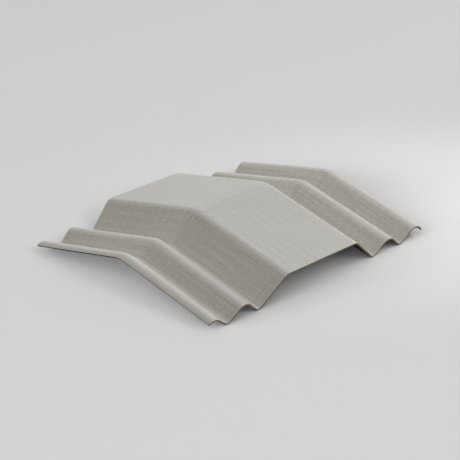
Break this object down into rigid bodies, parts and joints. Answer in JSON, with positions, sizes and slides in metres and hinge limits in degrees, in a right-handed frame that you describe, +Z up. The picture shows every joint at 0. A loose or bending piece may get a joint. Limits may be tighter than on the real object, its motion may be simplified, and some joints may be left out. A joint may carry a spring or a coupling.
{
  "type": "roof ridge cap",
  "caption": "Ridge cap of moulded fibre cement: a corrugated sheet with a broad trapezoid between small waves, bent along the ridge so that its wings lap onto the roof sheets.",
  "frame": {"origin": "on the floor, under the middle of the cap's width and under its ridge line", "axes": "+X along the ridge line, from the underlapping lip to the overlapping lip; +Y horizontal, across the ridge; +Z up"},
  "size_m": [1.06, 0.8766, 0.1945],
  "materials": {
    "fibre_cement": "matte"
  },
  "bodies": {
    "root": {"ridge_cap": "fibre_cement"}
  },
  "joints": []
}
